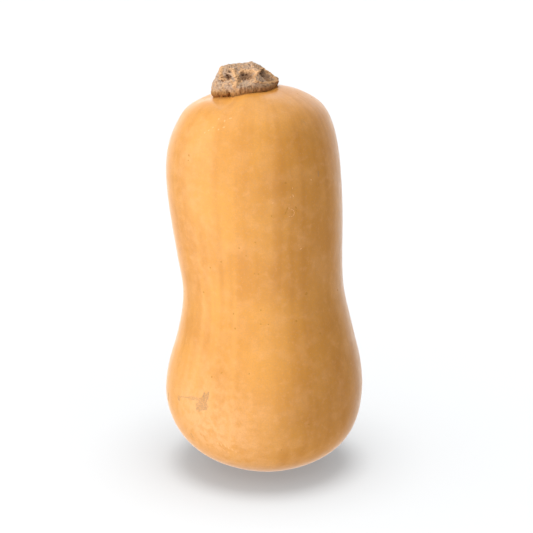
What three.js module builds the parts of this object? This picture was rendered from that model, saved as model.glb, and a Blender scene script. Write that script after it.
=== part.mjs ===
// A butternut squash, stood on its blossom end as in the photograph.
// Millimetres, +Z up, the photographed side towards -Y, the origin on the ground under the bulb.
// Two bodies grew together here: the fruit, and the dried woody stem seated on its crown.

import * as THREE from "three";
import { mergeVertices } from "three/addons/utils/BufferGeometryUtils.js";

// Driving dimensions of the fruit

const BULB_RADIUS = 53;
const BULB_HEIGHT = 42;
const WAIST_RADIUS = 43;
const WAIST_HEIGHT = 98;
const NECK_RADIUS = 45.9;
const NECK_HEIGHT = 154;
const CROWN_HEIGHT = 204;
const FOOT_SINK = 1.2; // depth of the round blossom end that resting has pressed flat
const SCAR_RADIUS = 7;
const SCAR_DEPTH = 2.2;

// The fruit's middle line wanders: these are the steps to the left of the bulb's middle.
const FOOT_LEAN = -1.8;
const WAIST_LEAN = -1.5;
const NECK_LEAN = 5.8;
const CROWN_LEAN = 9.4;
const CROWN_TILT = 0.1; // rise of the crown to the right, per mm across
const CROWN_PITCH = 0.05; // rise of the crown to the back, per mm

// Driving dimensions of the stem

const STEM_RADIUS = 17.2;
const STEM_HEIGHT = 14;
const STEM_TOP_RADIUS = 12;
const SKIRT_TUCK = 1; // how far the skirt draws in again where it meets the fruit
const SEAT_GAP = 0.3;

// Fineness

const FRUIT_SECTORS = 72;
const FRUIT_RINGS = 60;
const STEM_SECTORS = 60;

// Half outline of the fruit before it leans, from the blossom end up: radius, height.
const FRUIT_OUTLINE = [
  [0, -FOOT_SINK],
  [16, 0.3],
  [26, 4.2],
  [34.5, 8.6],
  [43.2, 15.8],
  [50, 27.2],
  [BULB_RADIUS, BULB_HEIGHT],
  [51.6, 58],
  [47, 76],
  [WAIST_RADIUS, WAIST_HEIGHT],
  [43.8, 118],
  [45.2, 136],
  [NECK_RADIUS, NECK_HEIGHT],
  [44.9, 171],
  [41.3, 185],
  [34, 196],
  [20, 202.5],
  [0, CROWN_HEIGHT],
];

// Half outline of the stem, from the middle of its seat out and up: radius, height over the seat.
const STEM_OUTLINE = [
  [0, 0],
  [6, 0],
  [11, 0],
  [STEM_RADIUS - SKIRT_TUCK, 0],
  [STEM_RADIUS - 0.3, 1.2],
  [STEM_RADIUS, 3],
  [STEM_RADIUS, 4.6],
  [STEM_RADIUS - 0.5, 6.2],
  [STEM_RADIUS - 1.2, 7.8],
  [STEM_RADIUS - 2.1, 9.4],
  [STEM_RADIUS - 3, 11],
  [STEM_RADIUS - 3.8, 12.4],
  [STEM_TOP_RADIUS + 0.6, 13.3],
  [STEM_TOP_RADIUS - 0.2, 13.9],
  [STEM_TOP_RADIUS - 2, STEM_HEIGHT],
  [STEM_TOP_RADIUS - 4.5, STEM_HEIGHT],
  [STEM_TOP_RADIUS - 7.5, STEM_HEIGHT],
  [0, STEM_HEIGHT],
];

// Hollows between the stem's ribs. The bearing is in degrees from the front towards the right, the
// rest in millimetres, and facing is how far each hollow looks up, in degrees.
const STEM_HOLLOWS = [
  { bearing: -46, height: 10, across: 4.5, tall: 5.5, depth: 3, facing: 10 },
  { bearing: 4, height: 9.5, across: 6.5, tall: 5.5, depth: 3.4, facing: 20 },
  { bearing: 55, height: 7.6, across: 7.5, tall: 5, depth: 3.4, facing: 45 },
  { bearing: 125, height: 6.5, across: 6.5, tall: 5, depth: 1.8, facing: 15 },
  { bearing: 170, height: 10, across: 7, tall: 6.5, depth: 3, facing: 10 },
  { bearing: -120, height: 9.5, across: 6.5, tall: 6, depth: 3.2, facing: 10 },
  { bearing: -28, height: 2, across: 1.8, tall: 5, depth: 1.3, facing: 0 },
  { bearing: 84, height: 1.5, across: 2, tall: 4, depth: 0.9, facing: 0 },
  { bearing: 143, height: 2, across: 2, tall: 5, depth: 1.2, facing: 0 },
  { bearing: -84, height: 1.5, across: 2, tall: 4, depth: 1, facing: 0 },
];

const radians = THREE.MathUtils.degToRad;
const { smoothstep, lerp } = THREE.MathUtils;

// A bump of height 1 at the middle that fades to nothing at the given reach.
function swell(distance, reach) {
  const share = Math.min(1, Math.abs(distance) / reach);
  return (1 - share * share) ** 2;
}

// The shortest way round from one angle to another.
function turn(from, to) {
  return Math.atan2(Math.sin(to - from), Math.cos(to - from));
}

// How far the fruit's middle line stands to the left at a height.
function lean(height) {
  const neck = smoothstep(height, 82, 186);
  const crown = smoothstep(height, 190, CROWN_HEIGHT);
  return (
    FOOT_LEAN * swell(height, BULB_HEIGHT) +
    WAIST_LEAN * swell(height - 78, 40) +
    NECK_LEAN * neck +
    (CROWN_LEAN - NECK_LEAN) * crown
  );
}

// Low ribs and flats that keep the fruit from being round, as a share of its radius.
function ribs(angle, height) {
  const bulb = swell(height - BULB_HEIGHT, 60);
  const shoulder = swell(height - 185, 40);
  return (
    0.006 * bulb * Math.cos(5 * angle + 0.6) +
    0.008 * shoulder * Math.cos(5 * angle - 1.1) +
    0.006 * Math.cos(2 * angle + 0.02 * height) +
    0.004 * Math.cos(3 * angle - 0.03 * height)
  );
}

// Folds in the crown where the skin draws in to the stem.
function crownFold(angle, radius) {
  const near = swell(radius - 21, 13);
  const valley = swell(turn(radians(-117), angle), radians(34));
  const dip = swell(turn(radians(165), angle), radians(85));
  return near * (0.35 * Math.cos(5 * angle + 0.4) - 0.6 * valley - 1.7 * dip);
}

// Moves a point of the plain turned fruit to where the real skin lies.
function shapeFruit(point) {
  const radius = Math.hypot(point.x, point.y);
  const angle = Math.atan2(point.y, point.x);
  const height = point.z;
  const crown = smoothstep(height, NECK_HEIGHT, CROWN_HEIGHT);
  const scale = 1 + ribs(angle, height) * Math.min(1, radius / 12);
  point.x = scale * point.x - lean(height);
  point.y *= scale;
  const slope = CROWN_TILT * (point.x + CROWN_LEAN) + CROWN_PITCH * point.y;
  point.z += crown * (slope + crownFold(angle, radius));
  point.z = Math.max(0, point.z);
  if (height < BULB_HEIGHT) point.z += SCAR_DEPTH * swell(radius, SCAR_RADIUS);
}

// A turned profile with its shared points joined, then reshaped point by point.
function turned(outline, sectors, shape) {
  const lathe = new THREE.LatheGeometry(outline, sectors).rotateX(Math.PI / 2);
  lathe.deleteAttribute("normal");
  lathe.deleteAttribute("uv");
  const solid = mergeVertices(lathe, 1e-4);
  const positions = solid.getAttribute("position");
  const point = new THREE.Vector3();
  for (let i = 0; i < positions.count; i++) {
    shape(point.fromBufferAttribute(positions, i));
    positions.setXYZ(i, point.x, point.y, point.z);
  }
  solid.computeVertexNormals();
  return solid;
}

// The fruit's outline as evenly spaced points from the blossom end up.
function fruitOutline() {
  const points = FRUIT_OUTLINE.map(([radius, height]) => new THREE.Vector2(radius, height));
  return new THREE.SplineCurve(points).getSpacedPoints(FRUIT_RINGS);
}

// Height of the turned crown at a distance from its middle, straight between the outline's points.
function crownHeight(outline, radius) {
  const outer = outline.findLastIndex((point) => point.x > radius);
  const [low, high] = [outline[outer], outline[outer + 1]];
  return lerp(low.y, high.y, (low.x - radius) / (low.x - high.x));
}

// The oblique break of the stem's top, which falls away to the right and to the front.
function breakHeight(x, y) {
  return STEM_HEIGHT + Math.min(0, 0.75 * (3.9 - x), 0.22 * (y - 1));
}

// Moves a point of the plain turned stem to where it lies on the fruit's crown.
function shapeStem(point, outline) {
  const angle = Math.atan2(point.y, point.x);
  let radius = Math.hypot(point.x, point.y);
  let rise = point.z;
  if (rise > 0) {
    rise = Math.min(rise, breakHeight(point.x, point.y));
    for (const hollow of STEM_HOLLOWS) {
      const across = turn(radians(hollow.bearing - 90), angle) * radius;
      const share = Math.hypot(across / hollow.across, (rise - hollow.height) / hollow.tall);
      const cut = hollow.depth * swell(share, 1) * Math.min(1, radius / 6);
      radius -= cut * Math.cos(radians(hollow.facing));
      rise -= cut * Math.sin(radians(hollow.facing));
    }
  }
  const seat = lerp(
    crownHeight(outline, radius),
    crownHeight(outline, STEM_RADIUS),
    smoothstep(rise, 0, 6),
  );
  point.set(radius * Math.cos(angle), radius * Math.sin(angle), seat);
  shapeFruit(point);
  point.z += SEAT_GAP + rise;
}

function makeStem(outline) {
  const profile = STEM_OUTLINE.map(([radius, height]) => new THREE.Vector2(radius, height));
  return turned(profile, STEM_SECTORS, (point) => shapeStem(point, outline));
}

const outline = fruitOutline();
const squash = new THREE.Group();

const rind = new THREE.MeshStandardMaterial({ color: 0xe3a25c, roughness: 0.45, metalness: 0 });
const fruit = new THREE.Mesh(turned(outline, FRUIT_SECTORS, shapeFruit), rind);
fruit.name = "fruit";
squash.add(fruit);

const cork = new THREE.MeshStandardMaterial({ color: 0xb08e6c, roughness: 0.9, metalness: 0 });
const stem = new THREE.Mesh(makeStem(outline), cork);
stem.name = "stem";
squash.add(stem);

// The box of the whole squash is centred over the origin.
const middle = new THREE.Box3().setFromObject(squash, true).getCenter(new THREE.Vector3());
for (const mesh of [fruit, stem]) mesh.geometry.translate(-middle.x, -middle.y, 0);

export default squash;
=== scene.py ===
"""A whole butternut squash on a plain studio floor.

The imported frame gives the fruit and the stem. This file grows the waxy skin, the corky stem and the
marks on the skin over them, and lights them softly. Metres, +Z up, the photographed side towards -Y.
"""

import math
import random

import bpy
import numpy as np
from bpy.props import FloatProperty, FloatVectorProperty, IntProperty, PointerProperty
from mathutils import Matrix, Vector, noise
from mathutils.bvhtree import BVHTree


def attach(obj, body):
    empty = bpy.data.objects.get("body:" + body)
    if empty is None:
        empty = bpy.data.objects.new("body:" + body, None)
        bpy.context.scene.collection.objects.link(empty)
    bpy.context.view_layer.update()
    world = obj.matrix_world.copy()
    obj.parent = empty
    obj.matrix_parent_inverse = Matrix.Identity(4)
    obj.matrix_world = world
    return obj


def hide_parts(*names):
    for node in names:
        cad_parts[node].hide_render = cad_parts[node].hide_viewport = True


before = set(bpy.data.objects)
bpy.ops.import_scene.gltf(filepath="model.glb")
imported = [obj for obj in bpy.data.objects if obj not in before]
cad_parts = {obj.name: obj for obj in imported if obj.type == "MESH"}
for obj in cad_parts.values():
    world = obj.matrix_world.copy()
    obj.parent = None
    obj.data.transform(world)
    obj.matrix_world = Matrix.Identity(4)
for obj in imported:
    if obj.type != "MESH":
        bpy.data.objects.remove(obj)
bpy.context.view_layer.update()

bl_info = {
    "name": "Butternut Squash",
    "version": (1, 0, 0),
    "blender": (4, 5, 0),
    "location": "3D View > Sidebar > Squash",
    "description": "A butternut squash with a waxy skin, a corky stem and a plain studio",
    "category": "Object",
}

MM = 0.001
DOWN = Vector((0, 0, -1))
BODY = "root"
IMAGE_MIDDLE = 266.5  # the middle of the 533 pixel square picture
SENSOR = 36.0  # millimetres across

# The middles that the skin's and the stem's grids fan out from, in the frame's own metres.
BULB_MIDDLE = Vector((0.0014, 0.0004, 0.048))
CROWN_MIDDLE = Vector((-0.0098, 0.0002, 0.160))
STEM_MIDDLE = Vector((-0.0098, 0.0002, 0.2072))

# The drum that lengthwise patterns are drawn on stands round the fruit's middle line.
DRUM_SHIFT = (3 * MM, 0, 0)
DRUM_RADIUS = 50 * MM

# The crown rises in a low collar round the stem, with one fold on the front. The fold's line and its
# width are in pixels of the picture.
SKIRT_REACH = 18 * MM
COLLAR_REACH = 38 * MM
COLLAR_HEIGHT = 0.9 * MM
FOLD_LINE = [(230, 95), (227, 98), (221, 104)]
FOLD_WIDTH = 8
FOLD_DEPTH = 0.7 * MM
SCAR_REACH = 6 * MM  # the blossom scar's radius
PORES_PER_METRE = 600.0

# The stem's top is worn lower round one place. Its place across the picture and its reach to each
# side are in pixels.
WORN_ACROSS = 241
WORN_REACH = 24
WORN_DEPTH = 1.0 * MM
SKIRT_SINK = 0.3 * MM  # how far the skirt's edge goes into the fruit
SKIRT_TUCK = 0.045  # the share by which the skirt draws in at its edge

FLOOR_HALF = 12.0
FLOOR_HEIGHT = -0.05 * MM  # a hair under the foot, so that the two flats don't coincide
ON_SQUASH = "squash alone"
ON_FLOOR = "floor alone"

# Soft lights: the name, the setting for its strength, the spread in degrees, the place that it comes
# from, and the collection that it falls on.
LIGHTS = (
    ("overhead light", "overhead", 48, (0, 0.02, 1), ON_SQUASH),
    ("floor light", "floor_light", 36, (0, -0.05, 1), ON_FLOOR),
    ("floor haze", "floor_haze", 100, (-0.12, -0.2, 1), ON_FLOOR),
    ("window light", "window", 40, (-1, -0.55, 0.4), ON_SQUASH),
    ("fill light", "fill", 40, (0.1, -1, -0.9), ON_SQUASH),
)

# The sides of the room that shine in the wax: the way to each, the cosines between which it comes up,
# and the setting for its brightness.
BRIGHT_SIDES = (
    ((-0.6, -0.77, 0.2), 0.0, 0.9, "window_gloss"),
    ((0.08, 1, 0), 0.45, 0.95, "wall_gloss"),
    ((0.37, 0.2, 0.91), 0.4, 1.0, "ceiling_gloss"),
)

# Pale patches on the skin's left: where each lies in the picture, its reach in mm and its strength. The first
# is a pale bloom; the other two are painted sheen, where the window light falls on the left edge.
BLOOMS_AND_SHEEN = ((205, 430, 50, 1.0), (185, 150, 40, 0.4), (180, 245, 45, 0.4))
LOW_PAINTED_BOUNCE = 1.3  # the strength of the painted bounce light underneath

# Small dark scabs on the front of the skin: where they lie in the picture, and their size in mm.
DARK_SPECKS = [
    (188.9, 155.5, 0.85), (188.2, 160.4, 0.65), (285.4, 183.1, 1.0), (271.7, 216.1, 0.7),
    (255.2, 242.4, 0.6), (239.1, 248.1, 0.6), (246.1, 255.8, 0.65), (221.1, 261.8, 0.85),
    (210.3, 267.7, 0.85), (254.3, 273.7, 0.55), (258.5, 274.2, 0.65), (203.7, 292.3, 1.0),
    (306.4, 293.7, 1.25), (260.8, 310.2, 0.75), (233.5, 313.7, 0.75), (296.3, 321.0, 1.05),
    (235.2, 328.5, 1.05), (260.8, 324.1, 0.65), (268.6, 324.5, 0.65), (320.2, 333.4, 0.75),
    (221.6, 372.9, 0.75), (211.7, 376.8, 0.9), (249.3, 373.8, 0.6), (308.6, 424.5, 0.95),
    (281.5, 450.0, 0.75),
]

# Dark nicks on the front: both ends in the picture, and the width in mm.
DARK_NICKS = [
    (287.9, 207.2, 286.5, 210.8, 0.6), (286.5, 210.8, 284.8, 214.8, 0.6),
    (295.0, 206.4, 296.6, 208.8, 0.8), (295.6, 209.4, 296.6, 211.6, 0.5),
]

# Pale healed scratches on the front: both ends in the picture, and the width in mm. The first six
# follow one another round a small ring scar.
PALE_SCRATCHES = [
    (290.9, 208.9, 292.9, 209.8, 0.35), (292.9, 209.8, 294.2, 211.6, 0.35),
    (294.2, 211.6, 294.4, 213.8, 0.35), (294.4, 213.8, 293.2, 215.8, 0.3),
    (293.2, 215.8, 290.8, 216.8, 0.25), (290.8, 216.8, 288.4, 216.2, 0.25),
    (288.6, 207.6, 289.6, 208.6, 0.5), (271.8, 203.6, 273.6, 202.4, 0.4), (290.2, 196.4, 291.0, 197.6, 0.4),
    (217.8, 119.4, 219.6, 118.5, 0.8), (224.1, 122.2, 225.1, 119.8, 0.8), (229.0, 118.8, 232.2, 117.8, 0.8),
    (217.8, 130.4, 219.2, 128.8, 0.8), (222.4, 127.6, 225.4, 126.8, 0.7), (212.0, 128.0, 214.0, 127.0, 0.6),
    (204.2, 133.4, 205.4, 131.8, 0.8), (207.8, 130.8, 209.8, 129.8, 0.7),
    (292.4, 187.0, 292.8, 189.4, 0.3), (292.6, 194.4, 293.8, 197.2, 0.5),
    (310.4, 179.0, 311.8, 180.4, 0.6), (299.8, 249.2, 302.0, 248.4, 0.5),
    (216.8, 441.8, 218.4, 444.4, 0.6), (220.4, 443.0, 222.0, 446.0, 0.6), (224.2, 443.8, 226.2, 447.4, 0.7),
    (227.8, 446.2, 229.4, 449.4, 0.6), (222.8, 448.6, 224.6, 451.4, 0.5), (231.6, 448.0, 233.0, 450.8, 0.5),
    (217.2, 447.6, 218.6, 449.8, 0.5), (228.0, 451.4, 229.4, 453.8, 0.5), (235.4, 450.6, 236.6, 452.8, 0.4),
]

SCRATCH_SHARE = 1 / 3  # on the unseen sides, for each dark speck

# Healed scuffs on the front, as strokes: both ends in the picture, the width in mm and the strength.
SCUFFS = [
    (204.4, 392.8, 203.4, 396.6, 0.7, 0.85), (208.4, 392.4, 207.2, 399.4, 0.7, 0.7),
    (206.2, 396.0, 205.0, 407.0, 1.9, 0.6), (203.0, 401.0, 201.0, 407.6, 2.0, 0.6),
    (204.0, 408.2, 197.0, 408.8, 1.5, 0.6), (200.4, 401.0, 197.2, 406.0, 1.7, 0.5),
    (190.0, 397.6, 201.0, 400.0, 1.2, 0.45), (178.4, 396.4, 190.0, 397.6, 0.6, 0.4),
    (178.0, 397.6, 179.2, 400.0, 0.9, 0.6), (168.6, 394.0, 168.4, 400.0, 0.9, 0.7),
    (191.0, 434.0, 193.0, 437.0, 0.5, 0.6), (318.2, 172.4, 318.4, 175.4, 0.7, 0.5),
    (303.2, 120.4, 305.4, 123.6, 1.2, 0.3),
]

# Forms on the front of the stem: the middle in the picture, the half sizes across and down in pixels,
# the turn in degrees, and the depth in mm. The hollows are cut in. The bulges stand out, or draw in
# where their depth is below zero.
# Each hollow's share, more where it is deeper, is kept for the painted shade in it.
STEM_HOLLOWS = [
    (227.6, 76.8, 3.4, 4.4, 15, 2.2), (229.6, 70.6, 2.2, 1.2, -20, 0.8), (247.0, 75.4, 8.6, 6.4, 0, 2.2),
    (266.4, 76.2, 10.0, 4.2, 37, 1.5), (236.4, 70.0, 1.4, 0.8, 0, 0.6), (228.8, 95.0, 2.0, 3.2, 15, 1.4),
    (241.5, 90.5, 2.0, 3.0, 10, 0.4), (223.5, 81.5, 2.4, 1.6, 30, 0.5),
]
STEM_BULGES = [
    (218.6, 84.0, 5.2, 7.0, 0, 0.9), (240.5, 87.0, 8.0, 4.4, 0, 0.8), (229.4, 64.6, 1.6, 1.3, 0, 1.0),
    (262.0, 87.5, 9.0, 3.4, -10, 0.5), (215.6, 92.0, 4.4, 3.4, 0, 1.3), (225.0, 96.5, 4.5, 2.6, 0, -1.6),
]
# Crests between the hollows: the width in pixels, the height in mm, then the points that they pass.
STEM_CRESTS = [
    (3.4, 0.9, (233.6, 69.6), (236.4, 74.0), (237.0, 79.0), (235.4, 85.0)),
    (1.9, 0.8, (262.0, 69.4), (257.8, 72.0), (254.0, 76.0), (255.8, 81.2)),
    (1.6, 0.5, (256.4, 81.2), (262.0, 82.4), (269.0, 82.8), (277.0, 81.0)),
    (1.8, 0.4, (240.0, 69.6), (246.0, 69.0), (252.0, 69.4), (257.8, 72.0)),
    (1.5, 0.4, (264.0, 69.6), (270.0, 73.6), (274.6, 78.0), (277.0, 81.4)),
    (2.4, 0.6, (222.0, 67.6), (221.0, 72.0), (221.6, 77.0), (223.6, 80.0)),
]


class RindSettings(bpy.types.PropertyGroup):
    """Sizes and colours of the skin."""

    sectors: IntProperty(name="Sectors", description="Faces round the fruit", default=320, min=36)
    rings: IntProperty(name="Rings", description="Faces from end to end", default=290, min=36)
    swell: FloatProperty(
        name="Swell", description="Height of the broad unevenness", default=0.0007, unit="LENGTH")
    flute: FloatProperty(
        name="Flutes", description="Depth of the faint lengthwise furrows", default=0.00015, unit="LENGTH")
    dimple: FloatProperty(
        name="Dimples", description="Depth of the small dents", default=0.00006, unit="LENGTH")
    seed: FloatProperty(name="Seed", description="Picks another uneven surface", default=3.0)
    tan: FloatVectorProperty(
        name="Tan", description="The usual skin colour", size=3, subtype="COLOR",
        default=(0.650, 0.295, 0.055))
    amber: FloatVectorProperty(
        name="Amber", description="The deeper colour of streaks and patches", size=3, subtype="COLOR",
        default=(0.520, 0.210, 0.030))
    # Blush is also the colour of the painted sheen on the left edge and of the painted bounce light
    # underneath.
    blush: FloatVectorProperty(
        name="Blush", description="The pale pinkish bloom", size=3, subtype="COLOR",
        default=(0.695, 0.352, 0.132))
    scuff: FloatVectorProperty(
        name="Scuff", description="The healed grey-brown scuffs", size=3, subtype="COLOR",
        default=(0.360, 0.205, 0.100))
    roughness: FloatProperty(
        name="Roughness", description="How dull the wax is", default=0.32, subtype="FACTOR")


class StemSettings(bpy.types.PropertyGroup):
    """Sizes and colours of the stem."""

    sectors: IntProperty(name="Sectors", description="Faces round the stem", default=400, min=36)
    rings: IntProperty(name="Rings", description="Faces from end to end", default=220, min=36)
    cork: FloatProperty(
        name="Cork", description="Height of the coarse cork", default=0.0018, unit="LENGTH")
    grit: FloatProperty(
        name="Grit", description="Height of the fine grit on the cork", default=0.0010, unit="LENGTH")
    pit: FloatProperty(
        name="Pits", description="Depth of the small pits in the cork", default=0.0005, unit="LENGTH")
    seed: FloatProperty(name="Seed", description="Picks another corky surface", default=5.0)
    grey: FloatVectorProperty(
        name="Grey", description="The weathered face of the cork", size=3, subtype="COLOR",
        default=(0.450, 0.322, 0.232))
    peach: FloatVectorProperty(
        name="Peach", description="The warm ribs of the cork", size=3, subtype="COLOR",
        default=(0.620, 0.370, 0.190))
    # Umber is the colour of the dark speckle and the pits, and of the painted shade in the hollows and at the
    # skirt's foot.
    umber_and_shade: FloatVectorProperty(
        name="Umber", description="The hollows of the cork", size=3, subtype="COLOR",
        default=(0.190, 0.095, 0.045))
    russet: FloatVectorProperty(
        name="Russet", description="The lower edge of the skirt", size=3, subtype="COLOR",
        default=(0.440, 0.208, 0.046))


class MarkSettings(bpy.types.PropertyGroup):
    """Sizes and colours of the marks on the skin."""

    density: FloatProperty(
        name="Specks", description="Specks on each square metre of the unseen sides", default=900.0)
    smallest: FloatProperty(
        name="Smallest", description="Size of the smallest speck", default=0.0003, unit="LENGTH")
    largest: FloatProperty(
        name="Largest", description="Size of the largest speck", default=0.0009, unit="LENGTH")
    thickness: FloatProperty(
        name="Thickness", description="How far a mark stands proud", default=0.00005, unit="LENGTH")
    seed: IntProperty(name="Seed", description="Picks other places for the specks", default=11)
    scab: FloatVectorProperty(
        name="Scab", description="Colour of the dark specks", size=3, subtype="COLOR",
        default=(0.460, 0.200, 0.030))
    scar: FloatVectorProperty(
        name="Scar", description="Colour of the pale scratches", size=3, subtype="COLOR",
        default=(0.720, 0.385, 0.150))


class StudioSettings(bpy.types.PropertyGroup):
    """The camera, the floor and the lights."""

    elevation: FloatProperty(
        name="Elevation", description="How far the camera looks down", default=math.radians(14.5),
        subtype="ANGLE")
    distance: FloatProperty(
        name="Distance", description="From the camera to the squash", default=0.629, unit="LENGTH")
    target: FloatVectorProperty(
        name="Target", description="The point in the middle of the picture", size=3,
        subtype="TRANSLATION", default=(0.00137, 0.0, 0.1104))
    lens: FloatProperty(name="Lens", description="Focal length in mm on a 36 mm sensor", default=80.0)
    overhead: FloatProperty(
        name="Overhead", description="Strength of the wide soft light from above", default=2.35)
    floor_light: FloatProperty(
        name="Floor light", description="Strength of the light from above on the floor", default=5.0)
    floor_haze: FloatProperty(
        name="Floor haze", description="Strength of the wider light on the floor", default=4.8)
    window: FloatProperty(
        name="Window", description="Strength of the soft light from the left", default=2.9)
    fill: FloatProperty(
        name="Fill", description="Strength of the soft light from the front", default=1.2)
    sky: FloatProperty(name="Sky", description="Brightness of the white room", default=0.19)
    window_gloss: FloatProperty(
        name="Window gloss", description="How bright the window is in reflections", default=3.4)
    wall_gloss: FloatProperty(
        name="Wall gloss", description="How bright the far wall is in reflections", default=1.5)
    ceiling_gloss: FloatProperty(
        name="Ceiling gloss", description="How bright the ceiling is in reflections", default=1.3)
    glow: FloatProperty(name="Glow", description="Light that the floor gives by itself", default=0.31)
    glow_tint: FloatVectorProperty(
        name="Glow tint", description="Colour of the floor's own light", size=3, subtype="COLOR",
        default=(0.900, 0.955, 1.0))
    floor: FloatVectorProperty(
        name="Floor", description="Colour of the floor", size=3, subtype="COLOR",
        default=(0.225, 0.225, 0.225))


class Nodes:
    """Adds nodes to one tree. An input is given by name or number, as a value or another output."""

    def __init__(self, tree):
        self.tree = tree

    def add(self, kind, inputs=(), out=0, **settings):
        """Adds a node and gives one of its outputs."""
        made = self.tree.nodes.new(kind)
        for key, value in settings.items():
            setattr(made, key, value)
        for key, value in dict(inputs).items():
            socket = made.inputs[key]
            if isinstance(value, bpy.types.NodeSocket):
                self.tree.links.new(value, socket)
            else:
                socket.default_value = value
        return made.outputs[out]

    def calc(self, operation, *values):
        """One sum on numbers."""
        return self.add("ShaderNodeMath", enumerate(values), operation=operation)

    def vector(self, operation, *values, out=0):
        """One sum on vectors, whose result is a number where out is "Value"."""
        return self.add("ShaderNodeVectorMath", enumerate(values), out=out, operation=operation)

    def scaled(self, vector, amount):
        """A vector made longer or shorter."""
        return self.add("ShaderNodeVectorMath", {0: vector, "Scale": amount}, operation="SCALE")

    def noise(self, place, size, detail=2.0, roughness=0.5, seed=0.0):
        """Noise from 0 to 1 whose blotches are about the given size."""
        inputs = {"Vector": place, "W": seed, "Scale": 1 / size, "Detail": detail, "Roughness": roughness}
        return self.add("ShaderNodeTexNoise", inputs, noise_dimensions="4D")

    def step(self, value, low, high, start=0.0, end=1.0):
        """Eases from start to end as the value goes from low to high."""
        inputs = {0: value, 1: low, 2: high, 3: start, 4: end}
        return self.add("ShaderNodeMapRange", inputs, interpolation_type="SMOOTHSTEP")

    def mix(self, share, first, second):
        """A blend of two colours, all first at share 0 and all second at share 1."""
        inputs = {0: share, 6: first, 7: second}
        return self.add("ShaderNodeMix", inputs, out=2, data_type="RGBA")


def colour(value, share=1.0):
    """A colour property as a node's four numbers, lighter or darker by the share."""
    return (*(channel * share for channel in value), 1.0)


def ease(values, low, high):
    """Eases from 0 to 1 as the values go from low to high."""
    share = np.clip((values - low) / (high - low), 0, 1)
    return share * share * (3 - 2 * share)


def bump_of(distance):
    """A hump of height 1 at distance 0 that fades out at distance 1."""
    return (1 - np.minimum(1, np.abs(distance)) ** 2) ** 2


def cad_surface(node):
    """A CAD node's faces, ready for rays."""
    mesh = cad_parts[node].data
    corners = [vertex.co for vertex in mesh.vertices]
    return BVHTree.FromPolygons(corners, [face.vertices for face in mesh.polygons])


def smoothed(grid, passes):
    """Blurs a grid of rings by sectors; across each pole it runs on to the opposite side."""
    half = grid.shape[1] // 2
    for _ in range(passes):
        low, high = np.roll(grid[1], half), np.roll(grid[-2], half)
        padded = np.vstack([low, grid, high])
        grid = (padded[:-2] + 2 * grid + padded[2:]) / 4
        grid = (np.roll(grid, 1, 1) + 2 * grid + np.roll(grid, -1, 1)) / 4
    return grid


def wrapped(node, low, high, sectors, rings, passes):
    """A smooth grid of points on a CAD node, cast out from the line between two points inside it."""
    surface = cad_surface(node)
    low_reach = (low - surface.ray_cast(low, DOWN)[0]).length
    high_reach = (surface.ray_cast(high, -DOWN)[0] - high).length
    parts = [low_reach * math.pi / 2, (high - low).length, high_reach * math.pi / 2]
    run = np.linspace(0, sum(parts), rings + 1)
    pitch = np.interp(run, np.cumsum([0, *parts]), [-math.pi / 2, 0, 0, math.pi / 2])
    along = np.interp(run, np.cumsum([0, *parts]), [0, 0, 1, 1])
    bearing = np.arange(sectors) * 2 * math.pi / sectors
    origins = np.array(low) + along[:, None] * np.array(high - low)
    flat, rise = np.cos(pitch)[:, None], np.sin(pitch)[:, None] + 0 * bearing
    directions = np.stack([flat * np.cos(bearing), flat * np.sin(bearing), rise], axis=2)
    reach = np.array([
        [surface.ray_cast(Vector(start), Vector(way))[3] for way in ring]
        for start, ring in zip(origins, directions)
    ])
    return origins[:, None] + directions * smoothed(reach, passes)[..., None]


def grid_object(name, grid):
    """A closed mesh object from rings of points, the first and the last ring each one pole."""
    rings, sectors = grid.shape[0] - 2, grid.shape[1]
    points = np.vstack([grid[1:-1].reshape(-1, 3), grid[:1].mean(1), grid[-1:].mean(1)])
    bottom, top = rings * sectors, rings * sectors + 1
    index = np.arange(rings * sectors).reshape(rings, sectors)
    beside = np.roll(index, -1, 1)
    quads = np.stack([index[:-1], beside[:-1], beside[1:], index[1:]], axis=2).reshape(-1, 4)
    faces = quads.tolist()
    faces += [(bottom, b, a) for a, b in zip(index[0].tolist(), beside[0].tolist())]
    faces += [(top, a, b) for a, b in zip(index[-1].tolist(), beside[-1].tolist())]
    mesh = bpy.data.meshes.new(name)
    mesh.from_pydata(points.tolist(), [], faces)
    return linked_object(name, mesh)


def linked_object(name, data):
    """An object for a mesh, a light or a camera, put in the scene."""
    thing = bpy.data.objects.new(name, data)
    bpy.context.scene.collection.objects.link(thing)
    return thing


def mesh_points(mesh):
    """The mesh's points, one row each."""
    points = np.empty(len(mesh.vertices) * 3)
    mesh.vertices.foreach_get("co", points)
    return points.reshape(-1, 3)


def store(mesh, name, values, kind="FLOAT"):
    """Keeps one number, or one vector, for each point of the mesh."""
    attribute = mesh.attributes.new(name, kind, "POINT")
    field = "vector" if kind == "FLOAT_VECTOR" else "value"
    attribute.data.foreach_set(field, np.asarray(values, np.float32).ravel())


def new_tree(name, inputs):
    """A geometry node tree with named inputs, its group input's outputs, and its builder."""
    tree = bpy.data.node_groups.new(name, "GeometryNodeTree")
    tree.interface.new_socket("Geometry", in_out="INPUT", socket_type="NodeSocketGeometry")
    for label, kind in inputs.items():
        tree.interface.new_socket(label, in_out="INPUT", socket_type="NodeSocket" + kind)
    tree.interface.new_socket("Geometry", in_out="OUTPUT", socket_type="NodeSocketGeometry")
    given = tree.nodes.new("NodeGroupInput").outputs
    return tree, given, Nodes(tree)


def close_tree(nodes, geometry, material):
    """Ends a tree in smooth shading, Realize Instances and Set Material."""
    smooth = nodes.add("GeometryNodeSetShadeSmooth", {"Geometry": geometry})
    real = nodes.add("GeometryNodeRealizeInstances", {"Geometry": smooth})
    painted = nodes.add("GeometryNodeSetMaterial", {"Geometry": real, "Material": material})
    result = nodes.tree.nodes.new("NodeGroupOutput")
    nodes.tree.links.new(painted, result.inputs["Geometry"])


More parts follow.
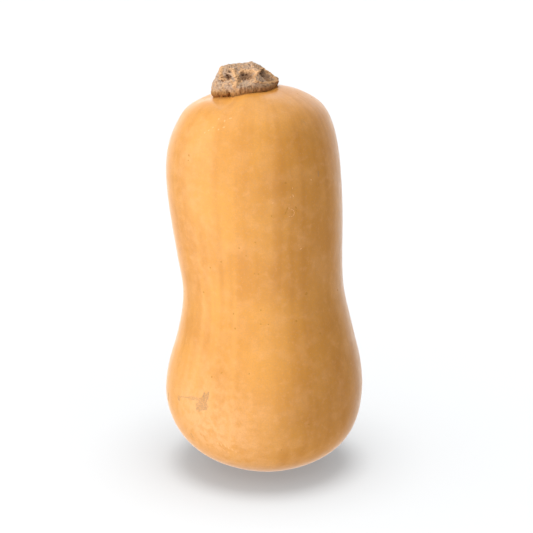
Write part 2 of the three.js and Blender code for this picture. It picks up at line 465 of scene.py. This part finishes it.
def grow(thing, tree, **values):
    """Runs a geometry node tree on an object and keeps the result as its plain mesh."""
    modifier = thing.modifiers.new(tree.name, "NODES")
    modifier.node_group = tree
    sockets = {item.name: item.identifier for item in tree.interface.items_tree if item.in_out == "INPUT"}
    for label, value in values.items():
        modifier[sockets[label.replace("_", " ").capitalize()]] = value
    graph = bpy.context.evaluated_depsgraph_get()
    evaluated = thing.evaluated_get(graph)
    mesh = bpy.data.meshes.new_from_object(evaluated, preserve_all_data_layers=True, depsgraph=graph)
    thing.modifiers.clear()
    plain = thing.data
    thing.data = mesh
    bpy.data.meshes.remove(plain)
    mesh.name = thing.name


def finished(thing, slot, *nodes):
    if not thing.data.polygons:
        raise RuntimeError(f"{thing.name} has no faces")
    bpy.data.collections[ON_SQUASH].objects.link(thing)
    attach(thing, BODY)
    if nodes:
        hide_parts(*nodes)


def new_material(name):
    """An empty node material, its builder, Object coordinates and its Principled shader."""
    material = bpy.data.materials.new(name)
    material.use_nodes = True
    material.node_tree.nodes.clear()
    nodes = Nodes(material.node_tree)
    place = nodes.add("ShaderNodeTexCoord", out="Object")
    shader = material.node_tree.nodes.new("ShaderNodeBsdfPrincipled")
    output = material.node_tree.nodes.new("ShaderNodeOutputMaterial")
    material.node_tree.links.new(shader.outputs[0], output.inputs["Surface"])
    return material, nodes, place, shader


def camera_place(studio):
    """The camera's matrix: it looks along +Y, and down by the elevation."""
    back = Vector((0, -math.cos(studio.elevation), math.sin(studio.elevation)))
    place = Matrix.Rotation(math.pi / 2 - studio.elevation, 4, "X")
    place.translation = Vector(studio.target) + studio.distance * back
    return place


def picture_camera():
    """The camera's matrix and its focal length in pixels of the picture."""
    studio = bpy.context.scene.squash_studio
    return camera_place(studio), studio.lens / SENSOR * IMAGE_MIDDLE * 2


def skin_under(surface, across, down):
    """Where the line of sight through a point of the picture meets the skin, and the skin's normal."""
    place, focal = picture_camera()
    sight = Vector(((across - IMAGE_MIDDLE) / focal, (IMAGE_MIDDLE - down) / focal, -1))
    spot, normal, _, _ = surface.ray_cast(place.translation, place.to_3x3() @ sight)
    if spot is None:
        raise RuntimeError(f"no skin lies under the picture's point {across}, {down}")
    return spot, normal


def in_picture(points):
    """Where points show in the picture, in pixels across and down."""
    place, focal = picture_camera()
    seen = (points - np.array(place.translation)) @ np.array(place.to_3x3())
    return IMAGE_MIDDLE + focal * seen[:, :2] / -seen[:, 2:] * (1, -1)


def oval(spots, across, down, wide, tall, turn):
    """Distance of points in the picture from an oval's middle: 1 on the oval itself."""
    away = spots - (across, down)
    angle = math.radians(turn)
    along = away @ (math.cos(angle), math.sin(angle)) / wide
    beside = away @ (-math.sin(angle), math.cos(angle)) / tall
    return np.hypot(along, beside)


def from_line(spots, corners):
    """Distance of points in the picture from a line through the corners."""
    nearest = np.full(len(spots), np.inf)
    for start, end in zip(corners, corners[1:]):
        way = np.subtract(end, start)
        share = np.clip((spots - start) @ way / (way @ way), 0, 1)
        nearest = np.minimum(nearest, np.linalg.norm(spots - start - share[:, None] * way, axis=1))
    return nearest


def near(points, spot, reach):
    """1 at a spot on the skin, fading out at the reach."""
    return bump_of(np.linalg.norm(points - np.array(spot), axis=1) / reach)


def round_the_fruit(nodes, place, stretch):
    """A place on the skin as a point on a tall thin drum, so that a pattern runs lengthwise."""
    around = nodes.vector("MULTIPLY", nodes.vector("ADD", place, DRUM_SHIFT), (1, 1, 0))
    drum = nodes.scaled(nodes.vector("NORMALIZE", around), DRUM_RADIUS)
    height = nodes.vector("MULTIPLY", place, (0, 0, stretch))
    return nodes.vector("ADD", drum, height)


def skin_relief():
    """The uneven skin: broad swells, faint lengthwise flutes and small dents."""
    tree, given, nodes = new_tree("Skin relief", {
        "Swell": "Float", "Flute": "Float", "Dimple": "Float", "Seed": "Float", "Material": "Material"})
    place = nodes.add("GeometryNodeInputPosition")
    long_place = nodes.vector("MULTIPLY", place, (1, 1, 0.6))
    broad = nodes.noise(long_place, 40 * MM, 1.5, 0.4, given["Seed"])
    furrow = nodes.noise(round_the_fruit(nodes, place, 0.08), 9 * MM, 1.0, 0.4, given["Seed"])
    dents = nodes.noise(place, 6 * MM, 1.0, 0.4, given["Seed"])
    height = nodes.calc("MULTIPLY", nodes.calc("SUBTRACT", broad, 0.5), given["Swell"])
    for pattern, size in ((furrow, "Flute"), (dents, "Dimple")):
        share = nodes.calc("SUBTRACT", pattern, 0.5)
        height = nodes.calc("MULTIPLY_ADD", share, given[size], height)
    normal = nodes.add("GeometryNodeInputNormal")
    raised = nodes.add(
        "GeometryNodeSetPosition", {"Geometry": given["Geometry"], "Offset": nodes.scaled(normal, height)})
    on_floor = nodes.vector("MAXIMUM", nodes.add("GeometryNodeInputPosition"), (-1, -1, 0))
    rested = nodes.add("GeometryNodeSetPosition", {"Geometry": raised, "Position": on_floor})
    close_tree(nodes, rested, given["Material"])
    return tree


def stroke(nodes, place, start, end, width, strength, ragged):
    """The share of a stroke on the skin between two points, its width in mm and its edge ragged.

    A wide stroke is more ragged than a thin one.
    """
    way = end - start
    away = nodes.vector("SUBTRACT", place, start)
    along = nodes.vector("DOT_PRODUCT", away, way / way.length_squared, out="Value")
    share = nodes.add("ShaderNodeClamp", {"Value": along})
    off = nodes.vector("SUBTRACT", away, nodes.scaled(way, share))
    reach = nodes.vector("LENGTH", off, out="Value")
    reach = nodes.calc("MULTIPLY_ADD", ragged, width ** 2 / (1 + width), reach)
    return nodes.step(reach, 0.4 * width * MM, 1.2 * width * MM, strength, 0)


def all_scuffs(nodes, place, ragged):
    """The share of every stroke in the table of scuffs together."""
    surface = cad_surface("fruit")
    scuffed = 0.0
    for *ends, width, strength in SCUFFS:
        start, end = skin_under(surface, *ends[:2])[0], skin_under(surface, *ends[2:])[0]
        scuffed = nodes.calc("MAXIMUM", scuffed, stroke(nodes, place, start, end, width, strength, ragged))
    return scuffed


def rind_tints(nodes, place, rind, mottle):
    """The skin's colour without its marks: amber streaks and clouds on tan, painted shade that darkens the
    right side below the crown, and a pale bloom with painted sheen on the left edge and painted bounce light
    underneath.
    """
    streaks = nodes.noise(round_the_fruit(nodes, place, 0.06), 6 * MM, 1.5, 0.6)
    clouds = nodes.noise(place, 30 * MM, 3.0, 0.55, 4.0)
    patches = nodes.noise(place, 9 * MM, 2.0, 0.5, 9.0)
    deep = nodes.calc("ADD", nodes.step(streaks, 0.35, 0.7, 0, 0.45), nodes.step(clouds, 0.35, 0.65, 0, 0.55))
    skin = nodes.mix(deep, colour(rind.tan), colour(rind.amber))
    across, height = (nodes.add("ShaderNodeSeparateXYZ", {0: place}, out=axis) for axis in "XZ")
    # Painted shade: the right side, away from the window light, is mixed towards a darker amber below the
    # crown.
    away_from_window = nodes.step(across, -20 * MM, 30 * MM, 0, 0.28)
    painted_shade = nodes.calc("MULTIPLY", away_from_window, nodes.step(height, 165 * MM, 192 * MM, 1, 0))
    skin = nodes.mix(painted_shade, skin, colour(rind.amber, 0.85))
    skin = nodes.mix(nodes.step(patches, 0.42, 0.7, 0, 0.25), skin, colour(rind.blush, 1.05))
    skin = nodes.mix(nodes.step(mottle, 0.5, 0.75, 0, 0.35), skin, colour(rind.blush))
    # Pale bloom, with painted sheen on the left edge and painted bounce light underneath, mixed in as blush.
    bloom = nodes.add("ShaderNodeAttribute", out="Fac", attribute_name="bloom")
    rough_bloom_and_painted_light = nodes.calc("MULTIPLY", bloom, nodes.step(mottle, 0.32, 0.62, 0.3, 1.0))
    return nodes.mix(rough_bloom_and_painted_light, skin, colour(rind.blush))


def rind_material(rind):
    """Waxy rind: tan with lengthwise amber streaks, a paler bloom, painted shade on the right side, painted
    sheen on the left edge, painted bounce light underneath, pores and healed scuffs.
    """
    material, nodes, place, shader = new_material("waxy rind")
    mottle = nodes.noise(place, 4 * MM, 3.0, 0.6, 7.0)
    grain = nodes.noise(place, 0.7 * MM, 2.0, 0.6, 2.0)
    pores = nodes.add("ShaderNodeTexVoronoi", {"Vector": place, "Scale": PORES_PER_METRE})
    pore = nodes.step(pores, 0.1, 0.3, 1, 0)
    skin = rind_tints(nodes, place, rind, mottle)
    skin = nodes.mix(nodes.calc("MULTIPLY", pore, 0.2), skin, colour(rind.blush))
    skin = nodes.mix(nodes.step(grain, 0.35, 0.7, 0.0, 0.24), skin, colour(rind.scuff))
    ragged = nodes.calc("MULTIPLY", nodes.calc("SUBTRACT", mottle, 0.5), 4 * MM)
    scuffed = all_scuffs(nodes, place, ragged)
    patchy = nodes.calc("MULTIPLY", scuffed, nodes.step(grain, 0.32, 0.64, 0.5, 1.3))
    skin = nodes.mix(patchy, skin, colour(rind.scuff))
    scar = nodes.add("ShaderNodeAttribute", out="Fac", attribute_name="blossom")
    ragged_scar = nodes.calc("ADD", scar, nodes.step(mottle, 0.2, 0.8, -0.25, 0.25))
    skin = nodes.mix(nodes.step(ragged_scar, 0.35, 0.65, 0, 0.85), skin, colour(rind.scuff, 0.6))
    dull = nodes.step(mottle, 0.2, 0.8, rind.roughness - 0.05, rind.roughness + 0.07)
    dull = nodes.calc("ADD", dull, nodes.calc("MULTIPLY", scuffed, 0.3))
    relief = nodes.calc("MULTIPLY_ADD", mottle, 0.5, nodes.calc("MULTIPLY", grain, 0.15))
    relief = nodes.calc("MULTIPLY_ADD", pore, -0.12, relief)
    relief = nodes.calc("MULTIPLY_ADD", scuffed, -0.4, relief)
    bump = nodes.add("ShaderNodeBump", {"Height": relief, "Strength": 0.8, "Distance": 0.2 * MM})
    links = material.node_tree.links
    links.new(skin, shader.inputs["Base Color"])
    links.new(dull, shader.inputs["Roughness"])
    links.new(bump, shader.inputs["Normal"])
    shader.inputs["Specular IOR Level"].default_value = 0.25
    return material


def crown_rise(grid):
    """How far the grid's points rise in the collar round the stem, and sink in its fold."""
    off_stem = np.linalg.norm(grid[..., :2] - np.array(STEM_MIDDLE.xy), axis=2)
    collar = (1 - ease(off_stem, SKIRT_REACH, COLLAR_REACH)) * ease(grid[..., 2], 180 * MM, 195 * MM)
    left = ease(STEM_MIDDLE.x - grid[..., 0], 8 * MM, 15 * MM)
    collar *= 1 - left * (1 - ease(off_stem, SKIRT_REACH, 25 * MM))  # it starts further out there
    fold = bump_of(from_line(in_picture(grid.reshape(-1, 3)), FOLD_LINE) / FOLD_WIDTH)
    fold = fold.reshape(collar.shape) * (grid[..., 1] < 0)
    return COLLAR_HEIGHT * collar - FOLD_DEPTH * fold


def bloom_and_painted_light_share(points):
    """How much blush lies on the skin: pale bloom and painted sheen at the places of the table, and painted
    bounce light underneath.
    """
    surface = cad_surface("fruit")
    bloom = 0
    for across, down, reach, strength in BLOOMS_AND_SHEEN:
        bloom = bloom + strength * near(points, skin_under(surface, across, down)[0], reach * MM)
    # Painted bounce light: the lowest skin is paled, as if lit by the floor.
    low = 1 - ease(points[:, 2], 4 * MM, 22 * MM)
    return np.clip(bloom + LOW_PAINTED_BOUNCE * low, 0, 1)


class SQUASH_OT_skin(bpy.types.Operator):
    """Grows the waxy skin over the fruit's solid"""

    bl_idname = "squash.skin"
    bl_label = "Grow the skin"

    def execute(self, context):
        rind = context.scene.squash_rind
        grid = wrapped("fruit", BULB_MIDDLE, CROWN_MIDDLE, rind.sectors, rind.rings, passes=16)
        grid[..., 2] += crown_rise(grid)
        skin = grid_object("skin", grid)
        points = mesh_points(skin.data)
        # The bloom's share, with the painted sheen and the painted bounce light, is kept for the rind's
        # colour.
        store(skin.data, "bloom", bloom_and_painted_light_share(points))
        foot = (BULB_MIDDLE.x, BULB_MIDDLE.y, 0)
        store(skin.data, "blossom", near(points, foot, SCAR_REACH))
        grow(skin, skin_relief(), swell=rind.swell, flute=rind.flute, dimple=rind.dimple,
             seed=rind.seed, material=rind_material(rind))
        finished(skin, "rind", "fruit")
        return {"FINISHED"}


def cork_relief():
    """Weathered cork: coarse lumps, fine grit and small pits, whose share is kept for the colour."""
    tree, given, nodes = new_tree("Cork relief", {
        "Cork": "Float", "Grit": "Float", "Pit": "Float", "Seed": "Float", "Material": "Material"})
    place = nodes.add("GeometryNodeInputPosition")
    lumps = nodes.noise(place, 3 * MM, 3.0, 0.6, given["Seed"])
    grit = nodes.noise(place, 0.9 * MM, 3.0, 0.6, given["Seed"])
    holes = nodes.noise(place, 0.8 * MM, 1.0, 0.5, nodes.calc("ADD", given["Seed"], 3.0))
    height = nodes.calc("MULTIPLY", nodes.calc("SUBTRACT", lumps, 0.5), given["Cork"])
    height = nodes.calc("MULTIPLY_ADD", nodes.calc("SUBTRACT", grit, 0.5), given["Grit"], height)
    pit = nodes.step(holes, 0.54, 0.64)
    height = nodes.calc("SUBTRACT", height, nodes.calc("MULTIPLY", pit, given["Pit"]))
    kept = nodes.add(
        "GeometryNodeStoreNamedAttribute", {"Geometry": given["Geometry"], "Name": "pit", "Value": pit},
        data_type="FLOAT", domain="POINT")
    offset = nodes.scaled(nodes.add("GeometryNodeInputNormal"), height)
    rough = nodes.add("GeometryNodeSetPosition", {"Geometry": kept, "Offset": offset})
    close_tree(nodes, rough, given["Material"])
    return tree


def cork_material(stem):
    """Dry cork: grey faces, peach ribs and crests, umber pits, a russet lower edge, and painted shade in the
    hollows and at the skirt's foot.
    """
    material, nodes, place, shader = new_material("dry cork")
    blotches = nodes.noise(place, 2.2 * MM, 4.0, 0.7, 1.0)
    speckle = nodes.noise(place, 0.6 * MM, 2.0, 0.7, 3.0)
    hollow, skirt, crest, pit = (
        nodes.add("ShaderNodeAttribute", out="Fac", attribute_name=name)
        for name in ("hollow", "skirt", "crest", "pit"))
    peach = nodes.calc("MULTIPLY_ADD", crest, 0.25, blotches)
    cork = nodes.mix(nodes.step(peach, 0.44, 0.66), colour(stem.grey), colour(stem.peach))
    # Painted shade: the hollows are darkened towards umber.
    cork = nodes.mix(nodes.calc("MULTIPLY", hollow, 0.85), cork, colour(stem.umber_and_shade))
    cork = nodes.mix(nodes.calc("MULTIPLY", crest, 0.3), cork, colour(stem.peach, 1.15))
    cork = nodes.mix(nodes.calc("MULTIPLY", skirt, 0.92), cork, colour(stem.russet))
    # Painted shade: the skirt's very foot, where it meets the fruit, is darkened towards umber.
    foot = nodes.calc("POWER", skirt, 5.0)
    cork = nodes.mix(nodes.calc("MULTIPLY", foot, 0.4), cork, colour(stem.umber_and_shade))
    cork = nodes.mix(nodes.calc("MULTIPLY", pit, 0.6), cork, colour(stem.umber_and_shade))
    cork = nodes.mix(nodes.step(speckle, 0.55, 0.68, 0, 0.4), cork, colour(stem.umber_and_shade))
    pale = nodes.calc("MULTIPLY", nodes.step(speckle, 0.46, 0.34, 0, 0.55), nodes.step(skirt, 0, 1, 1, 0.2))
    cork = nodes.mix(pale, cork, colour(stem.peach, 1.3))
    bump = nodes.add("ShaderNodeBump", {"Height": speckle, "Strength": 0.8, "Distance": 0.4 * MM})
    links = material.node_tree.links
    links.new(cork, shader.inputs["Base Color"])
    links.new(bump, shader.inputs["Normal"])
    shader.inputs["Roughness"].default_value = 0.9
    shader.inputs["Specular IOR Level"].default_value = 0.25
    return material


def carved(points):
    """Cuts the hollows into the front of the stem, raises the bulges and the crests, and gives the shares of
    painted shade in the hollows and of the crests.
    """
    spots = in_picture(points)
    middle = np.array(STEM_MIDDLE)
    out = points - middle
    out /= np.linalg.norm(out, axis=1)[:, None]
    ragged = np.array([noise.noise(point / (2.4 * MM)) for point in map(Vector, points)])
    hollow, crest, height = np.zeros((3, len(points)))
    for *place, depth in STEM_HOLLOWS:
        inside = 1 - ease(oval(spots, *place) + 0.25 * ragged, 0.6, 1.02)
        hollow = np.maximum(hollow, inside * min(1, depth / 2))
        height -= depth * inside
    for *place, rise in STEM_BULGES:
        height += rise * bump_of(oval(spots, *place) / 1.3)
    for width, rise, *corners in STEM_CRESTS:
        ridge = bump_of(from_line(spots, corners) / width * (1 + 0.5 * ragged))
        crest = np.maximum(crest, ridge)
        height += rise * ridge
    front = 1 - ease(points[:, 1], 3 * MM, 9 * MM)
    worn = bump_of((spots[:, 0] - WORN_ACROSS) / WORN_REACH) * ease(points[:, 2], 210 * MM, 214 * MM)
    points[:, 2] -= WORN_DEPTH * worn
    return points + out * (front * height * MM)[:, None], front * hollow, front * crest


def seated(points):
    """Lets the skirt down onto the fruit; the share is 1 at the skirt's edge and 0 well above it."""
    surface = cad_surface("fruit")
    clear = 20 * MM  # how far over each point its ray starts
    gap = np.full(len(points), 1.0)  # a metre, which leaves the points higher up as they are
    for index in np.flatnonzero(points[:, 2] < STEM_MIDDLE.z + 3 * MM):
        spot = surface.ray_cast(Vector(points[index]) - clear * DOWN, DOWN)[0]
        gap[index] = points[index, 2] - spot.z
    low = 1 - ease(gap, 0.5 * MM, 3 * MM)
    points[:, 2] -= low * (gap + SKIRT_SINK)
    tuck = 1 - SKIRT_TUCK * (1 - ease(gap, 0, 2.5 * MM))
    middle = np.array(STEM_MIDDLE.xy)
    points[:, :2] = middle + (points[:, :2] - middle) * tuck[:, None]
    left = ease(STEM_MIDDLE.x - points[:, 0], 2 * MM, 12 * MM)
    return points, 1 - ease(gap, (0.7 + 1.6 * left) * MM, (6 - 0.6 * left) * MM)


class SQUASH_OT_stem(bpy.types.Operator):
    """Grows the corky stem over its solid"""

    bl_idname = "squash.stem"
    bl_label = "Grow the stem"

    def execute(self, context):
        settings = context.scene.squash_stem
        grid = wrapped("stem", STEM_MIDDLE, STEM_MIDDLE, settings.sectors, settings.rings, passes=8)
        points, hollow, crest = carved(grid.reshape(-1, 3))
        points, skirt = seated(points)
        stem = grid_object("stem_cork", points.reshape(grid.shape))
        for label, values in (("hollow", hollow), ("crest", crest), ("skirt", skirt)):
            rings = values.reshape(grid.shape[:2])
            store(stem.data, label, [*rings[1:-1].ravel(), rings[0].mean(), rings[-1].mean()])
        grow(stem, cork_relief(), cork=settings.cork, grit=settings.grit, pit=settings.pit,
             seed=settings.seed, material=cork_material(settings))
        finished(stem, "stem", "stem")
        return {"FINISHED"}


def mark_tree():
    """Flat scabs on given points, and more of them scattered over the sides that aren't seen."""
    tree, given, nodes = new_tree("Skin marks", {
        "Skin": "Object", "Density": "Float", "Smallest": "Float", "Largest": "Float",
        "Thickness": "Float", "Seed": "Int", "Material": "Material"})
    lens = nodes.add("GeometryNodeMeshIcoSphere", {"Radius": 0.5, "Subdivisions": 2})
    facing, along, size = (
        nodes.add("GeometryNodeInputNamedAttribute", {"Name": name}, data_type="FLOAT_VECTOR")
        for name in ("facing", "along", "size"))
    upright = nodes.add("FunctionNodeAlignRotationToVector", {"Vector": facing}, axis="Z")
    turned = nodes.add(
        "FunctionNodeAlignRotationToVector", {"Rotation": upright, "Vector": along}, axis="X",
        pivot_axis="Z")
    placed = nodes.add("GeometryNodeInstanceOnPoints", {
        "Points": given["Geometry"], "Instance": lens, "Rotation": turned, "Scale": size})
    skin = nodes.add("GeometryNodeObjectInfo", {"Object": given["Skin"]}, out="Geometry")
    place = nodes.add("GeometryNodeInputPosition")
    depth, height = (nodes.add("ShaderNodeSeparateXYZ", {0: place}, out=axis) for axis in "YZ")
    unseen, off_floor = nodes.step(depth, -30 * MM, -10 * MM), nodes.step(height, 4 * MM, 8 * MM)
    density = nodes.calc("MULTIPLY", off_floor, nodes.calc("MULTIPLY", unseen, given["Density"]))
    scatter = nodes.tree.nodes.new("GeometryNodeDistributePointsOnFaces")
    nodes.tree.links.new(skin, scatter.inputs["Mesh"])
    nodes.tree.links.new(density, scatter.inputs["Density"])
    nodes.tree.links.new(given["Seed"], scatter.inputs["Seed"])
    width = nodes.add(
        "FunctionNodeRandomValue", {2: given["Smallest"], 3: given["Largest"], "Seed": given["Seed"]},
        out=1, data_type="FLOAT")
    flat = nodes.add("ShaderNodeCombineXYZ", {0: width, 1: width, 2: given["Thickness"]})
    strewn = nodes.add("GeometryNodeInstanceOnPoints", {
        "Points": scatter.outputs["Points"], "Instance": lens,
        "Rotation": scatter.outputs["Rotation"], "Scale": flat})
    both = nodes.tree.nodes.new("GeometryNodeJoinGeometry")
    for part in (placed, strewn):
        nodes.tree.links.new(part, both.inputs[0])
    close_tree(nodes, both.outputs[0], given["Material"])
    return tree


def mark_material(name, tint):
    """Dry cork of one tint, speckled."""
    material, nodes, place, shader = new_material(name)
    speckle = nodes.noise(place, 0.4 * MM, 2.0, 0.6)
    bump = nodes.add("ShaderNodeBump", {"Height": speckle, "Strength": 0.5, "Distance": 0.1 * MM})
    links = material.node_tree.links
    links.new(nodes.mix(speckle, colour(tint, 0.8), colour(tint, 1.15)), shader.inputs["Base Color"])
    links.new(bump, shader.inputs["Normal"])
    shader.inputs["Roughness"].default_value = 0.8
    return material


def placed_points(name, spots):
    """A mesh of loose points for marks: each has its place, the skin's normal, a way and a size."""
    mesh = bpy.data.meshes.new(name)
    mesh.from_pydata([tuple(spot[0]) for spot in spots], [], [])
    for position, label in enumerate(("facing", "along", "size"), start=1):
        store(mesh, label, [tuple(spot[position]) for spot in spots], "FLOAT_VECTOR")
    return linked_object(name, mesh)


def line_mark(surface, thickness, across, down, end_across, end_down, width):
    """A mark between two points of the picture: its place, the skin's normal, its way and its size."""
    start, normal = skin_under(surface, across, down)
    end, _ = skin_under(surface, end_across, end_down)
    return (start + end) / 2, normal, end - start, ((end - start).length, width * MM, thickness)


class SQUASH_OT_marks(bpy.types.Operator):
    """Puts the dark specks and the pale scratches on the skin"""

    bl_idname = "squash.marks"
    bl_label = "Mark the skin"

    def execute(self, context):
        marks = context.scene.squash_marks
        skin = bpy.data.objects["skin"]
        surface = BVHTree.FromObject(skin, context.evaluated_depsgraph_get())
        draw = random.Random(marks.seed)
        tree = mark_tree()
        thickness = 2 * marks.thickness  # half of a mark lies under the skin
        specks = []
        for across, down, size in DARK_SPECKS:
            spot, normal = skin_under(surface, across, down)
            way = Vector((draw.uniform(-1, 1), 0, draw.uniform(-1, 1)))
            stretch = draw.uniform(1.0, 1.6)
            specks.append((spot, normal, way, (size * stretch * MM, size * MM, thickness)))
        specks += [line_mark(surface, thickness, *line) for line in DARK_NICKS]
        scratches = [line_mark(surface, thickness, *line) for line in PALE_SCRATCHES]
        kinds = (
            ("skin_specks", specks, marks.density, marks.scab, "corky scab"),
            ("skin_scratches", scratches, marks.density * SCRATCH_SHARE, marks.scar, "healed scratch"),
        )
        for name, spots, density, tint, finish in kinds:
            piece = placed_points(name, spots)
            grow(piece, tree, skin=skin, density=density, smallest=marks.smallest, largest=marks.largest,
                 thickness=thickness, seed=marks.seed, material=mark_material(finish, tint))
            finished(piece, "rind")
        return {"FINISHED"}


def soft_light(name, strength, spread, place, lit):
    """A wide soft light from a place, even over the whole stage, that falls on one collection."""
    lamp = bpy.data.lights.new(name, "SUN")
    lamp.energy = strength
    lamp.angle = math.radians(spread)
    light = linked_object(name, lamp)
    light.location = place
    light.rotation_euler = Vector(place).to_track_quat("Z", "Y").to_euler()
    light.light_linking.receiver_collection = lit
    light.visible_glossy = False


def floor_material(studio):
    """Plain matt floor, faintly lit from within, with a barely visible unevenness."""
    material, nodes, place, shader = new_material("pale floor")
    cloud = nodes.noise(place, 300 * MM)
    tint = nodes.mix(cloud, colour(studio.floor), colour(studio.floor, 0.99))
    material.node_tree.links.new(tint, shader.inputs["Base Color"])
    shader.inputs["Roughness"].default_value = 1.0
    shader.inputs["Specular IOR Level"].default_value = 0.0
    shader.inputs["Emission Color"].default_value = colour(studio.glow_tint)
    shader.inputs["Emission Strength"].default_value = studio.glow
    return material


def plain_floor(studio):
    """The floor, which doesn't show in reflections."""
    corners = [(-1, -1), (1, -1), (1, 1), (-1, 1)]
    mesh = bpy.data.meshes.new("floor")
    mesh.from_pydata([(x * FLOOR_HALF, y * FLOOR_HALF, FLOOR_HEIGHT) for x, y in corners], [], [(0, 1, 2, 3)])
    mesh.materials.append(floor_material(studio))
    ground = linked_object("floor", mesh)
    ground.visible_glossy = False
    return ground


def white_room(studio):
    """A white world that is brighter on some sides in reflections, whichever way the camera looks."""
    world = bpy.data.worlds.new("white room")
    world.use_nodes = True
    nodes = Nodes(world.node_tree)
    seen = nodes.add("ShaderNodeLightPath", out="Is Camera Ray")
    mirrored = nodes.add("ShaderNodeLightPath", out="Is Glossy Ray")
    way = nodes.add("ShaderNodeTexCoord", out="Object")
    glint = 0.0
    for side, low, high, setting in BRIGHT_SIDES:
        facing = nodes.vector("DOT_PRODUCT", way, side, out="Value")
        share = nodes.step(facing, low, high, 0, getattr(studio, setting))
        glint = nodes.calc("ADD", share, glint)
    strength = nodes.calc("MULTIPLY_ADD", mirrored, glint, studio.sky)
    strength = nodes.calc("MAXIMUM", strength, seen)
    background = world.node_tree.nodes["Background"]
    background.inputs["Color"].default_value = (1, 1, 1, 1)
    world.node_tree.links.new(strength, background.inputs["Strength"])
    return world


class SQUASH_OT_studio(bpy.types.Operator):
    """Sets up the floor, the lights and the camera"""

    bl_idname = "squash.studio"
    bl_label = "Set up the studio"

    def execute(self, context):
        studio = context.scene.squash_studio
        ground = plain_floor(studio)
        sets = {name: bpy.data.collections.new(name) for name in (ON_SQUASH, ON_FLOOR)}
        sets[ON_FLOOR].objects.link(ground)
        for name, setting, spread, place, lit in LIGHTS:
            soft_light(name, getattr(studio, setting), spread, place, sets[lit])
        fill = bpy.data.objects["fill light"]  # it comes from under the floor, which lets it through
        fill.light_linking.blocker_collection = sets[ON_SQUASH]
        lens = bpy.data.cameras.new("camera")
        lens.lens = studio.lens
        lens.sensor_width = SENSOR
        camera = linked_object("camera", lens)
        camera.matrix_world = camera_place(studio)
        context.scene.camera = camera
        context.scene.world = white_room(studio)
        context.scene.view_settings.view_transform = "Standard"
        return {"FINISHED"}


class SQUASH_PT_panel(bpy.types.Panel):
    """Lists the squash's settings and the operators that make it"""

    bl_label = "Squash"
    bl_idname = "SQUASH_PT_panel"
    bl_space_type = "VIEW_3D"
    bl_region_type = "UI"
    bl_category = "Squash"

    def draw(self, context):
        for operator, group in STEPS:
            box = self.layout.box()
            settings = getattr(context.scene, group)
            for name in type(settings).__annotations__:
                box.prop(settings, name)
            box.operator(operator)


STEPS = (
    ("squash.studio", "squash_studio"),
    ("squash.skin", "squash_rind"),
    ("squash.stem", "squash_stem"),
    ("squash.marks", "squash_marks"),
)
GROUPS = {
    "squash_studio": StudioSettings,
    "squash_rind": RindSettings,
    "squash_stem": StemSettings,
    "squash_marks": MarkSettings,
}
CLASSES = (
    *GROUPS.values(), SQUASH_OT_studio, SQUASH_OT_skin, SQUASH_OT_stem, SQUASH_OT_marks, SQUASH_PT_panel)


def register():
    """Adds the classes to Blender, and the settings to its scenes."""
    for each in CLASSES:
        bpy.utils.register_class(each)
    for name, group in GROUPS.items():
        setattr(bpy.types.Scene, name, PointerProperty(type=group))


def unregister():
    """Takes the settings and the classes away again."""
    for name in GROUPS:
        delattr(bpy.types.Scene, name)
    for each in reversed(CLASSES):
        bpy.utils.unregister_class(each)


def main():
    """Makes the studio and the squash."""
    register()
    for operator, _ in STEPS:
        family, step = operator.split(".")
        getattr(getattr(bpy.ops, family), step)()


if __name__ == "__main__":
    main()
